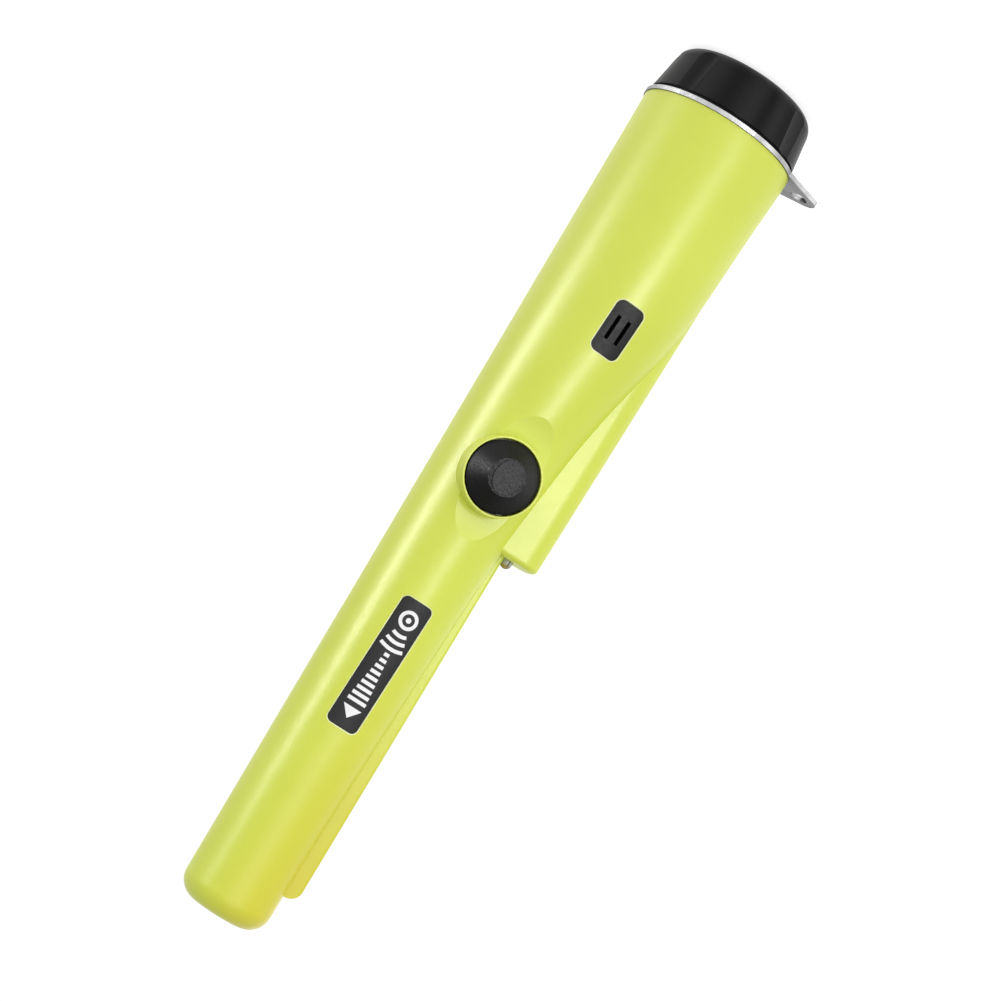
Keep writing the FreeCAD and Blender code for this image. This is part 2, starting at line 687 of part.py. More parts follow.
BOARD_X = 2.4


def make_chassis():
    """The tray that carries the circuit board on four posts, with a spigot for the spool."""
    body = new_body("chassis")
    plate = new_sketch(body, "tray_outline", "XZ_Plane")
    left, right = -half("tray_wide") + BOARD_X, half("tray_wide") + BOARD_X
    low, high = d("tray_low"), d("tray_low") + d("tray_long")
    outline(plate, [(left, low), (right, low), (right, high), (left, high)])
    feature = pad(body, "tray_pad", plate, d("tray_thick"))
    feature.Reversed = True
    doc.recompute()
    posts = new_sketch(body, "post_circles", "XZ_Plane")
    for x, z in post_places():
        ring_in(posts, 1.9, x, z)
    pad(body, "post_pad", posts, d("board_front") - d("board_thick") - FIT)
    doc.recompute()
    holes = new_sketch(body, "post_holes", "XZ_Plane")
    for x, z in post_places():
        ring_in(holes, 0.85, x, z)
    pocket = body.newObject("PartDesign::Pocket", "post_hole_cut")
    pocket.Profile = holes
    pocket.Type = 1
    pocket.Midplane = True
    body.Tip = pocket
    return body


def post_places():
    for side in (-1, 1):
        for z in (d("board_low") + 3, d("board_low") + d("board_long") - 3):
            yield half("board_wide") * side - 2.4 * side + BOARD_X, z


def make_board():
    body = new_body("main_board")
    outline_sketch = new_sketch(body, "board_outline", "XZ_Plane",
                                d("board_front") - d("board_thick"))
    left, right = -half("board_wide") + BOARD_X, half("board_wide") + BOARD_X
    low, high = d("board_low"), d("board_low") + d("board_long")
    outline(outline_sketch, [(left, low), (right, low), (right, high), (left, high)])
    for x, z in post_places():
        ring_in(outline_sketch, 1.1, x, z)
    pad(body, "board_pad", outline_sketch, d("board_thick"))
    front = -d("board_front")
    # each chip: its name, x from the board's middle, lowest z, width, length and height
    chips = [("processor", -5.5, 90.7, 7, 7, 1.2), ("amplifier", 2.2, 90.7, 4.4, 5.2, 1.4),
             ("regulator", -5.2, 83.2, 4, 3.4, 1.5), ("crystal", 3.2, 98.9, 3.6, 2.2, 1.0),
             ("capacitor", -4.2, 122.1, 5, 5, 3.2), ("inductor", 1.8, 122.3, 4.2, 4.6, 2.4),
             ("driver", -2.6, 129.2, 4.4, 3.2, 1.2)]
    solids = [box(name, x + BOARD_X, front - tall - FIT, z, wide, tall, long)
              for name, x, z, wide, long, tall in chips]
    group("board_parts", *solids)


def make_switch():
    side, front = d("switch_side"), d("board_front") + FIT
    base = box("switch_block", d("button_x") - side * 0.5, -(front + d("switch_tall")),
               d("button_z") - side * 0.5, side, d("switch_tall"), side)
    well_low = front + d("switch_tall") - d("switch_well_deep")
    well = rod("switch_well", d("plunger_radius") + 0.06, d("switch_well_deep") + 1, d("button_x"),
               -well_low, d("button_z"), ALONG_MINUS_Y)
    cut("tact_switch", base, well)
    plunger_low = well_low + d("switch_travel")
    rod("switch_plunger", d("plunger_radius"), d("plunger_top") - plunger_low,
        **button_point(plunger_low))


def make_motor():
    x, y, low = BOARD_X - 0.4, d("motor_y"), d("motor_low")
    rod("motor_can", d("motor_radius"), d("motor_long"), x, y, low)
    bore = rod("motor_bore", d("shaft_radius") + 0.03, d("motor_long"), x, y, low + 1)
    cut("vibration_motor", doc.getObject("motor_can"), bore)
    top = low + d("motor_long")
    shaft = rod("motor_shaft", d("shaft_radius"), d("motor_long") + d("weight_long") - 0.6, x, y,
                low + 1.2)
    full = rod("weight_round", d("weight_radius"), d("weight_long"), x, y, top + 0.5)
    half_gone = box("weight_cut", x + 0.7, y - 5, top, 6, 10, d("weight_long") + 1)
    join("motor_weight", shaft, cut("weight_half", full, half_gone))
    plate_y = d("tray_thick") + FIT
    outer = box("clip_block", x - 4.2, plate_y, low + 2.5, 8.4, y - plate_y + 2.0, 6)
    cut("motor_clip", outer, rod("clip_bore", d("motor_radius") + 0.01, 12, x, y, low))


def make_screws():
    screws = []
    for number, (x, z) in enumerate(post_places()):
        front = d("board_front") + FIT
        shank = rod("screw_shank%d" % number, 0.84, front + 0.5, x, 0.4, z, ALONG_MINUS_Y)
        head = rod("screw_head%d" % number, d("screw_head"), 1.3, x, -front, z, ALONG_MINUS_Y)
        slot = box("screw_slot%d" % number, x - 0.25, -(front + 1.4), z - 2, 0.5, 0.6, 4)
        screws.append(cut("screw%d" % number, join("screw_solid%d" % number, shank, head), slot))
    group("board_screws", *screws)


# ---------------------------------------------------------------- search coil

def make_search_coil():
    x = d("rod_x")
    rod("ferrite_rod", d("rod_radius"), d("rod_long"), x, 0, d("rod_low"))
    inner, outer = d("rod_radius") + FIT, d("rod_radius") + d("spool_wall")
    flange, width, long = d("spool_flange"), d("flange_width"), d("spool_long")
    turned("coil_spool", [(inner, 0), (flange, 0), (flange, width), (outer, width),
                          (outer, long - width), (flange, long - width), (flange, long),
                          (inner, long)], x=x, z=d("spool_low"))
    tube("search_coil", d("coil_radius"), outer + FIT, long - (width + FIT) * 2, x, 0,
         d("spool_low") + width + FIT)
    tall, past = d("cushion_tall"), 0.5
    front = rod("cushion_front_disc", d("cushion_front"), tall, x - 0.25, 0,
                d("spool_low") + long + past)
    rear = rod("cushion_rear_disc", d("cushion_rear"), tall, x + 0.75, 0,
               d("spool_low") - tall - past)
    bore = rod("cushion_bore", inner, long + tall * 4, x, 0, d("spool_low") - tall * 2)
    lead_notch = box("lead_notch", 0, -12, d("spool_low") - 6, 4.4, 6.4, 6)
    group("coil_cushions", cut("cushion_front", front, bore),
          cut("cushion_rear", rear, bore, lead_notch))


# ---------------------------------------------------------------- internal wires

def wire_run(name, route):
    """A thin wire along straight runs joined by tangent arcs."""
    radius = SIZE["wire_radius"]
    points = [Vector(*point) for point in route]
    edges, start = [], points[0]
    for before, corner, after in zip(points, points[1:], points[2:]):
        inward, outward = (corner - before), (after - corner)
        turn = inward.getAngle(outward)
        bend = 0.45 * min(inward.Length, outward.Length)
        first = corner - inward.normalize() * bend
        last = corner + outward.normalize() * bend
        bend_radius = bend / math.tan(turn / 2)
        to_centre = (first + last) * 0.5 - corner
        reach = to_centre.Length
        centre_gap = (bend_radius ** 2 + bend ** 2) ** 0.5
        middle = corner + to_centre * ((centre_gap - bend_radius) / reach)
        edges.append(Part.LineSegment(start, first).toShape())
        edges.append(Part.Arc(first, middle, last).toShape())
        start = last
    edges.append(Part.LineSegment(start, points[-1]).toShape())
    path = Part.Wire(edges)
    circle = Part.Wire(Part.Circle(points[0], points[1] - points[0], radius).toShape())
    wire = doc.addObject("Part::Feature", name)
    wire.Shape = path.makePipeShell([circle], True, True)
    return wire


def make_wires():
    """Pairs of thin leads; each list of points is a route through the housing."""
    routes = {
        "battery_leads": [
            [(5.2, 4.2, 74.6), (5.2, 6.5, 79.2), (9.6, 6.0, 83.7), (12.6, 1.6, 86.7),
             (12.9, -3.4, 87.1), (11.0, -3.8, 85.9)],
            [(-5.6, 4.2, 74.6), (-5.6, 6.5, 79.2), (-7.9, 5.0, 84.2), (-8.6, 0.6, 87.3),
             (-8.4, -3.4, 87.3), (-6.2, -3.8, 86.3)]],
        "speaker_leads": [
            [(-2.6, -10.6, 76.1), (-2.2, -10.4, 78.3), (-0.4, -8.2, 80.5), (0.1, -5.2, 80.9)],
            [(0.6, -10.6, 76.1), (0.9, -10.4, 78.5), (2.1, -8.0, 81.0), (2.6, -5.2, 81.6)]],
        "led_leads": [
            [(-12.9, -0.7, 122.1), (-12.9, -0.7, 118.2), (-10.0, -2.6, 115.6),
             (-6.2, -3.8, 115.1)],
            [(-11.6, 0.7, 122.1), (-11.6, 0.7, 120.3), (-9.2, -1.6, 118.6),
             (-6.2, -3.8, 118.3)]],
        "coil_leads": [
            [(1.2, -6.6, 161.6), (1.2, -6.7, 154.7), (1.0, -5.6, 147.2), (0.9, -3.9, 140.2),
             (0.9, -3.8, 135.8)],
            [(3.0, -6.6, 161.6), (3.0, -6.8, 154.2), (3.2, -5.5, 146.9), (3.4, -3.9, 139.9),
             (3.4, -3.8, 135.8)]],
    }
    for name, pair in routes.items():
        group(name, *[wire_run("%s_%d" % (name, number), route)
                      for number, route in enumerate(pair)])


# ---------------------------------------------------------------- the whole probe

NODES = ["housing", "battery_cap", "lanyard_ring", "cap_gasket", "cap_pad", "button_cap",
         "button_pad", "button_clip", "button_seal", "label_plate", "speaker_grille", "speaker",
         "led", "led_holder", "battery", "battery_contacts", "battery_bulkhead", "chassis",
         "main_board", "board_parts", "tact_switch", "switch_plunger", "vibration_motor",
         "motor_weight", "motor_clip", "board_screws", "ferrite_rod", "coil_spool",
         "search_coil", "coil_cushions", "battery_leads", "speaker_leads", "led_leads",
         "coil_leads"]


def write_parts():
    doc.recompute()
    faults = [thing.Name for thing in doc.Objects
              if "Invalid" in thing.State or "Error" in thing.State]
    for name in NODES:
        shape = doc.getObject(name).Shape
        if shape.isNull() or not shape.isValid() or not shape.Solids:
            faults.append(name)
    if faults:
        raise RuntimeError("these objects failed: " + ", ".join(faults))
    os.makedirs("parts", exist_ok=True)
    for name in NODES:
        thing = doc.getObject(name)
        thing.Label = name
        thing.Shape.exportStep("parts/%s.step" % name)
        print(name, "solids", len(thing.Shape.Solids), "mm3", round(thing.Shape.Volume, 1))


make_housing()
make_cap_end()
make_button()
make_label_plate()
make_speaker()
make_light()
make_battery()
make_chassis()
make_board()
make_switch()
make_motor()
make_screws()
make_search_coil()
make_wires()
write_parts()
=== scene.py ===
import json
import math

import bmesh
import bpy
from mathutils import Matrix, Quaternion, Vector
from mathutils.bvhtree import BVHTree


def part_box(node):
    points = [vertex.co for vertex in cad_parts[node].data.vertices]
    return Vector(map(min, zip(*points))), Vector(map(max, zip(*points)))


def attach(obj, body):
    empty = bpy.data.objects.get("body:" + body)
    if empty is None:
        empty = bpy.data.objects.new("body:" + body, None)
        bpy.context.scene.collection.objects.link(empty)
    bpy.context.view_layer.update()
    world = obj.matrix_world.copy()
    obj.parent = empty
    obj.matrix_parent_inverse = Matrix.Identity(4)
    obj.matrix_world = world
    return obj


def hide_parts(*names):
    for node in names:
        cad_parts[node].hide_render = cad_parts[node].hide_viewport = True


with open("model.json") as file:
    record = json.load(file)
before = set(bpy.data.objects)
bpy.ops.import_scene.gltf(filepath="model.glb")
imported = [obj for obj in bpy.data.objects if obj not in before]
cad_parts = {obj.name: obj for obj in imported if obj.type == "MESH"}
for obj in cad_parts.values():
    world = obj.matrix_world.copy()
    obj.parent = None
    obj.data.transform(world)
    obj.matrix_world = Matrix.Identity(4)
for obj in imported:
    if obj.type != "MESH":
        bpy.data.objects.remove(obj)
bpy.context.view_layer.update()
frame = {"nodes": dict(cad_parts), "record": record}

# A hand-held pinpointer probe standing on its screw cap, tip up, seen from its button face.
# The camera is rolled, so the tip points down and to the left in the picture.

NODES = frame["nodes"]


# ---------------------------------------------------------------- camera, light and floor

CAMERA_AZIMUTH = math.radians(11.78)
CAMERA_ELEVATION = math.radians(5.48)
CAMERA_ROLL = math.radians(212.5)
CAMERA_DISTANCE = 0.582
CAMERA_TARGET = Vector((-0.0031, 0.0, 0.1154))
CAMERA_LENS = 89.27
SENSOR_WIDTH = 36

# The studio walls: how bright they are behind the probe and behind the camera, and between
# which cosines of the angle from the camera's line of sight the one fades to the other.
WORLD_BACK = 1.02
WORLD_FRONT = 0.42
FADE_START = -0.3
FADE_END = 0.75

FLOOR_REACH = 6.0
FLOOR_DROP = 0.0002
FLOOR_GREY = (0.6, 0.6, 0.6)
FLOOR_GLOW = 0.8
WHITE = (1, 1, 1)


def make_camera():
    """Place the scene's camera and return the direction from its target back to it."""
    flat = math.cos(CAMERA_ELEVATION)
    back = Vector((math.sin(CAMERA_AZIMUTH) * flat, -math.cos(CAMERA_AZIMUTH) * flat,
                   math.sin(CAMERA_ELEVATION)))
    right = Vector((0, 0, 1)).cross(back).normalized()
    up = back.cross(right)
    cosine, sine = math.cos(CAMERA_ROLL), math.sin(CAMERA_ROLL)
    rolled_right = right * cosine + up * sine
    rolled_up = up * cosine - right * sine
    camera = bpy.data.objects.new("camera", bpy.data.cameras.new("camera"))
    bpy.context.scene.collection.objects.link(camera)
    turn = Matrix((rolled_right, rolled_up, back)).transposed()
    camera.matrix_world = Matrix.Translation(CAMERA_TARGET + back * CAMERA_DISTANCE) @ turn.to_4x4()
    camera.data.lens = CAMERA_LENS
    camera.data.sensor_width = SENSOR_WIDTH
    camera.data.clip_start = 0.01
    bpy.context.scene.camera = camera
    return back


def panel(name, azimuth, height, distance, wide, tall, power, lean=0.0, tilt=0.0,
          sheen_only=False):
    """A rectangular light round the probe's axis, facing it; azimuth is measured from -Y.

    One that is sheen_only shows in the gloss of a surface and adds nothing to its shade.
    """
    angle = math.radians(azimuth)
    outward = Vector((math.sin(angle), -math.cos(angle), 0))
    light = bpy.data.lights.new(name, "AREA")
    light.shape = "RECTANGLE"
    light.size = wide
    light.size_y = tall
    light.energy = power
    lamp = bpy.data.objects.new(name, light)
    bpy.context.scene.collection.objects.link(lamp)
    lamp.location = outward * distance + Vector((0, 0, height))
    facing = (outward + Vector((0, 0, lean))).normalized()
    turn = facing.to_track_quat("Z", "Y") @ Quaternion((0, 0, 1), math.radians(tilt))
    lamp.rotation_euler = turn.to_euler()
    lamp.visible_diffuse = not sheen_only


def make_floor():
    """A pale sheet on the floor, a little luminous so that it stays even under the probe."""
    mesh = bpy.data.meshes.new("floor")
    corners = [(-FLOOR_REACH, -FLOOR_REACH, 0), (FLOOR_REACH, -FLOOR_REACH, 0),
               (FLOOR_REACH, FLOOR_REACH, 0), (-FLOOR_REACH, FLOOR_REACH, 0)]
    mesh.from_pydata(corners, [], [(0, 1, 2, 3)])
    floor = bpy.data.objects.new("floor", mesh)
    bpy.context.scene.collection.objects.link(floor)
    floor.location.z = -FLOOR_DROP
    material = bpy.data.materials.new("floor_paper")
    material.use_nodes = True
    shader = material.node_tree.nodes["Principled BSDF"]
    shader.inputs["Base Color"].default_value = (*FLOOR_GREY, 1)
    shader.inputs["Roughness"].default_value = 0.9
    shader.inputs["Specular IOR Level"].default_value = 0.1
    shader.inputs["Emission Color"].default_value = (*WHITE, 1)
    shader.inputs["Emission Strength"].default_value = FLOOR_GLOW
    mesh.materials.append(material)


def make_world(toward):
    """Even white to the camera; its light is white behind the probe and soft grey before it."""
    world = bpy.data.worlds.new("studio")
    world.use_nodes = True
    tree = world.node_tree
    coords = tree.nodes.new("ShaderNodeTexCoord")
    facing = tree.nodes.new("ShaderNodeVectorMath")
    facing.operation = "DOT_PRODUCT"
    facing.inputs[1].default_value = -toward
    tree.links.new(coords.outputs["Generated"], facing.inputs[0])
    fade = tree.nodes.new("ShaderNodeMapRange")
    fade.inputs["From Min"].default_value = FADE_START
    fade.inputs["From Max"].default_value = FADE_END
    fade.inputs["To Min"].default_value = WORLD_FRONT
    fade.inputs["To Max"].default_value = WORLD_BACK
    tree.links.new(facing.outputs["Value"], fade.inputs["Value"])
    rays = tree.nodes.new("ShaderNodeLightPath")
    seen = tree.nodes.new("ShaderNodeMix")
    seen.inputs["B"].default_value = WORLD_BACK
    tree.links.new(rays.outputs["Is Camera Ray"], seen.inputs["Factor"])
    tree.links.new(fade.outputs["Result"], seen.inputs["A"])
    background = tree.nodes["Background"]
    background.inputs["Color"].default_value = (*WHITE, 1)
    tree.links.new(seen.outputs["Result"], background.inputs["Strength"])
    bpy.context.scene.world = world


toward_camera = make_camera()
make_world(toward_camera)
make_floor()
bpy.context.scene.view_settings.view_transform = "Standard"
panel("front_panel", azimuth=-12, height=0.42, distance=1.1, wide=0.8, tall=0.8, power=3.3,
      lean=0.25)
panel("spine_strip", azimuth=80, height=0.11, distance=0.45, wide=0.07, tall=0.30, power=2.1,
      tilt=40, sheen_only=True)
panel("grip_strip", azimuth=-17, height=0.055, distance=0.40, wide=0.06, tall=0.12, power=0.9,
      sheen_only=True)
panel("back_fill", azimuth=215, height=0.40, distance=1.2, wide=0.5, tall=0.9, power=0.8,
      lean=0.2)


# ---------------------------------------------------------------- materials

CHARTREUSE = (0.66, 0.735, 0.090)
CHARTREUSE_DARK = (0.635, 0.705, 0.078)
PAINTED_AMBER = (0.66, 0.585, 0.030)
# A painted highlight: the pale colour of the lips round the label and grille.
LIP_HIGHLIGHT = (0.84, 0.87, 0.58)
BLACK = (0.008, 0.008, 0.0085)
DEEP_BLACK = (0.006, 0.006, 0.0062)
# The cap's paler grey is a painted sheen on its bands.
CAP_SHEEN_GREY = (0.019, 0.019, 0.020)

# The lamp: its dome's radius, the lead that shows inside (half its width and how far it stands
# off the middle), and the depths below the dome's top between which the cup turns to amber.
LAMP_RADIUS = 0.0015
LEAD_HALF_WIDE = 0.00012
LEAD_ASIDE = 0.0003
AMBER_FROM = 0.0012
AMBER_FULL = 0.0007

# Where painted light tints the housing a darker amber: up the probe, and from +X round to the rib's
# side.
WARM_LOW = 0.15
WARM_HIGH = 0.225
WARM_SIDE = 0.009

# Where the cap's paler bands of painted sheen lie, as parts of a turn from -X round by -Y.
CAP_SHEEN_BANDS = [0.05, 0.135, 0.20, 0.255, 0.36, 0.425, 0.52, 0.62, 0.74, 0.83, 0.93]


class Surface:
    """One node material on a Principled shader, with noise in the object's own space.

    place is the position in metres. The methods below return a socket or link one.
    """

    def __init__(self, name, colour, roughness=0.5, metallic=0.0, specular=0.5):
        self.material = bpy.data.materials.new(name)
        self.material.use_nodes = True
        self.tree = self.material.node_tree
        self.shader = self.tree.nodes["Principled BSDF"]
        self.set("Base Color", (*colour, 1))
        self.set("Roughness", roughness)
        self.set("Metallic", metallic)
        self.set("Specular IOR Level", specular)
        self.place = self.node("ShaderNodeTexCoord").outputs["Object"]

    def set(self, socket, value):
        """Set a value that is the same all over the surface."""
        self.shader.inputs[socket].default_value = value

    def node(self, kind, **values):
        """Add a node, with its properties set."""
        made = self.tree.nodes.new(kind)
        for name, value in values.items():
            setattr(made, name, value)
        return made

    def link(self, start, end):
        self.tree.links.new(start, end)

    def noise(self, scale, detail=2.0, stretch=(1, 1, 1)):
        """A grey noise with scale cells in a metre."""
        mapping = self.node("ShaderNodeMapping")
        mapping.inputs["Scale"].default_value = stretch
        self.link(self.place, mapping.inputs["Vector"])
        noise = self.node("ShaderNodeTexNoise")
        noise.inputs["Scale"].default_value = scale
        noise.inputs["Detail"].default_value = detail
        self.link(mapping.outputs["Vector"], noise.inputs["Vector"])
        return noise.outputs["Fac"]

    def ramp(self, source, low, high, from_low=0.3, from_high=0.7):
        """Map a grey source onto the range low to high."""
        mapped = self.node("ShaderNodeMapRange")
        mapped.inputs["From Min"].default_value = from_low
        mapped.inputs["From Max"].default_value = from_high
        mapped.inputs["To Min"].default_value = low
        mapped.inputs["To Max"].default_value = high
        self.link(source, mapped.inputs["Value"])
        return mapped.outputs["Result"]

    def mix(self, factor, first, second):
        """Blend two colours, each a tuple or a socket."""
        mixed = self.node("ShaderNodeMix", data_type="RGBA")
        for socket, value in ((6, first), (7, second)):
            if isinstance(value, tuple):
                mixed.inputs[socket].default_value = (*value, 1)
            else:
                self.link(value, mixed.inputs[socket])
        self.link(factor, mixed.inputs[0])
        return mixed.outputs[2]

    def bump(self, source, distance, strength=1.0):
        """A normal raised by source over distance in metres."""
        bump = self.node("ShaderNodeBump")
        bump.inputs["Distance"].default_value = distance
        bump.inputs["Strength"].default_value = strength
        self.link(source, bump.inputs["Height"])
        return bump.outputs["Normal"]

    def to(self, source, socket):
        """Feed a socket of the shader."""
        self.link(source, self.shader.inputs[socket])


def moulded_plastic(name, colour, darker, roughness=0.42, grain=0.00002, specular=0.5):
    """Satin moulded plastic: faint mottling, fine spark texture."""
    surface = Surface(name, colour, roughness, specular=specular)
    mottle = surface.ramp(surface.noise(60, 3), 0, 1)
    surface.to(surface.mix(mottle, darker, colour), "Base Color")
    surface.to(surface.ramp(surface.noise(900, 3), roughness - 0.05, roughness + 0.07), "Roughness")
    surface.to(surface.bump(surface.noise(2600, 2), grain, 0.5), "Normal")
    return surface.material


def housing_plastic():
    """Satin chartreuse plastic, painted a darker amber toward the tip on the rib side as the light
    tints it there.
    """
    surface = Surface("housing_plastic", CHARTREUSE, 0.36, specular=0.4)
    mottle = surface.ramp(surface.noise(45, 3), 0, 1)
    plain = surface.mix(mottle, CHARTREUSE_DARK, CHARTREUSE)
    axes = surface.node("ShaderNodeSeparateXYZ")
    surface.link(surface.place, axes.inputs[0])
    tipward = surface.ramp(axes.outputs["Z"], 0.0, 1.0, WARM_LOW, WARM_HIGH)
    ribward = surface.ramp(axes.outputs["X"], 1.0, 0.0, -WARM_SIDE, WARM_SIDE)
    painted_amber_mask = surface.node("ShaderNodeMath", operation="MULTIPLY")
    surface.link(tipward, painted_amber_mask.inputs[0])
    surface.link(ribward, painted_amber_mask.inputs[1])
    # Painted light: amber and darker toward the tip on the rib side.
    surface.to(surface.mix(painted_amber_mask.outputs[0], plain, PAINTED_AMBER), "Base Color")
    surface.to(surface.ramp(surface.noise(900, 3), 0.345, 0.39), "Roughness")
    surface.to(surface.bump(surface.noise(4200, 1), 0.00002, 0.6), "Normal")
    return surface.material


def cap_sheen_plastic():
    """Black moulded plastic with paler grey bands round the cap: a painted sheen along its lobes.
    """
    surface = Surface("cap_plastic", BLACK, 0.34, specular=0.085)
    around = surface.node("ShaderNodeTexGradient", gradient_type="RADIAL")
    surface.link(surface.place, around.inputs["Vector"])
    bands = surface.node("ShaderNodeValToRGB")
    bands.color_ramp.interpolation = "EASE"
    stops = bands.color_ramp.elements
    for middle, following in zip(CAP_SHEEN_BANDS, CAP_SHEEN_BANDS[1:] + CAP_SHEEN_BANDS[:1]):
        between = (middle + following) / 2 if following > middle else (middle + 1) / 2
        for place, grey in ((middle, 1.0), (between, 0.0)):
            stops.new(place).color = (grey, grey, grey, 1)
    # A new ramp's own two stops are the outermost ones.
    stops.remove(stops[0])
    stops.remove(stops[-1])
    surface.link(around.outputs["Fac"], bands.inputs["Fac"])
    # Painted sheen: paler grey on the bands, deep black between.
    surface.to(surface.mix(bands.outputs["Color"], DEEP_BLACK, CAP_SHEEN_GREY), "Base Color")
    surface.to(surface.bump(surface.noise(2200, 2), 0.00002, 0.5), "Normal")
    return surface.material


def speckled_pad():
    """Dark rubber with a fine grey speckle."""
    surface = Surface("pad_plastic", (0.05, 0.05, 0.05), 0.7, specular=0.2)
    grain = surface.noise(4200, 3)
    speck = surface.ramp(grain, 0, 1, 0.38, 0.66)
    surface.to(surface.mix(speck, (0.027, 0.027, 0.027), (0.072, 0.072, 0.072)), "Base Color")
    surface.to(surface.bump(grain, 0.00003, 0.6), "Normal")
    return surface.material


def button_rubber():
    """Black rubber with a fine eroded texture that glints where it catches light."""
    surface = Surface("button_rubber", (0.006, 0.006, 0.0065), 0.42, specular=0.15)
    grain = surface.noise(1900, 4)
    surface.to(surface.ramp(grain, 0.34, 0.55), "Roughness")
    surface.to(surface.bump(grain, 0.00005, 0.6), "Normal")
    return surface.material


def stamped_steel():
    """Plated steel, dull on its flat faces; the cut edge is bright and scored by the punch."""
    surface = Surface("stamped_steel", (0.60, 0.60, 0.61), 0.3, 1.0)
    surface.set("Specular Tint", (0.45, 0.45, 0.46, 1))
    score = surface.noise(2600, 2, (1, 1, 0.1))
    patches = surface.ramp(surface.noise(150, 2), 0, 1, 0.35, 0.65)
    edge = surface.mix(patches, (0.38, 0.38, 0.39), (0.70, 0.70, 0.71))
    flat = surface.mix(patches, (0.34, 0.34, 0.345), (0.44, 0.44, 0.445))
    facing = surface.node("ShaderNodeSeparateXYZ")
    surface.link(surface.node("ShaderNodeNewGeometry").outputs["True Normal"], facing.inputs[0])
    level = surface.node("ShaderNodeMath", operation="ABSOLUTE")
    surface.link(facing.outputs["Z"], level.inputs[0])
    surface.to(surface.mix(surface.ramp(level.outputs[0], 0, 1, 0.5, 0.9), edge, flat),
               "Base Color")
    surface.to(surface.ramp(score, 0.2, 0.42), "Roughness")
    surface.to(surface.bump(score, 0.00003, 0.5), "Normal")
    return surface.material


def clear_epoxy():
    """The lamp's clear body: a pale cup and a dark lead inside, amber toward its dome, its rim a
    painted shade.
    """
    surface = Surface("clear_epoxy", (0.60, 0.60, 0.52), 0.16)
    low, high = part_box("led")
    axes = surface.node("ShaderNodeSeparateXYZ")
    surface.link(surface.place, axes.inputs[0])
    cloud = surface.ramp(surface.noise(700, 3), 0, 1)
    cup = surface.mix(cloud, (0.40, 0.41, 0.33), (0.62, 0.62, 0.55))
    offset = surface.node("ShaderNodeMath", operation="SUBTRACT")
    surface.link(axes.outputs["X"], offset.inputs[0])
    offset.inputs[1].default_value = (low[0] + high[0]) / 2 - LEAD_ASIDE
    apart = surface.node("ShaderNodeMath", operation="ABSOLUTE")
    surface.link(offset.outputs[0], apart.inputs[0])
    lead = surface.ramp(apart.outputs[0], 1, 0, LEAD_HALF_WIDE, 2 * LEAD_HALF_WIDE)
    inside = surface.mix(lead, cup, (0.07, 0.06, 0.03))
    domeward = surface.ramp(axes.outputs["Z"], 0, 1, high[2] - AMBER_FROM, high[2] - AMBER_FULL)
    body = surface.mix(domeward, inside, (0.36, 0.27, 0.05))
    # Painted shade: the dome's rim darkens where it turns away from the view.
    rim = surface.node("ShaderNodeLayerWeight")
    rim.inputs["Blend"].default_value = 0.45
    edge = surface.ramp(rim.outputs["Facing"], 0, 1, 0.25, 0.75)
    surface.to(surface.mix(edge, body, (0.10, 0.085, 0.012)), "Base Color")
    surface.set("Coat Weight", 0.35)
    surface.set("Coat Roughness", 0.12)
    return surface.material


def circuit_board():
    """Green solder mask in a fine grid of two greens."""
    surface = Surface("circuit_board", (0.01, 0.09, 0.03), 0.35)
    grid = surface.node("ShaderNodeTexBrick")
    grid.inputs["Scale"].default_value = 420
    grid.inputs["Mortar Size"].default_value = 0.012
    surface.link(surface.place, grid.inputs["Vector"])
    surface.to(surface.mix(grid.outputs["Fac"], (0.008, 0.075, 0.025), (0.02, 0.16, 0.06)),
               "Base Color")
    return surface.material


def plain_metal(name, colour, roughness):
    """Bare metal with an uneven polish."""
    surface = Surface(name, colour, roughness, 1.0)
    surface.to(surface.ramp(surface.noise(1200, 3), roughness - 0.08, roughness + 0.1), "Roughness")
    return surface.material


def wound_copper():
    """Fine enamelled wire wound round the spool."""
    surface = Surface("copper", (0.55, 0.2, 0.08), 0.3, 0.9)
    turns = surface.node("ShaderNodeTexWave", wave_type="BANDS", bands_direction="Z")
    turns.inputs["Scale"].default_value = 1400
    surface.link(surface.place, turns.inputs["Vector"])
    surface.to(surface.bump(turns.outputs["Fac"], 0.00008, 0.8), "Normal")
    return surface.material


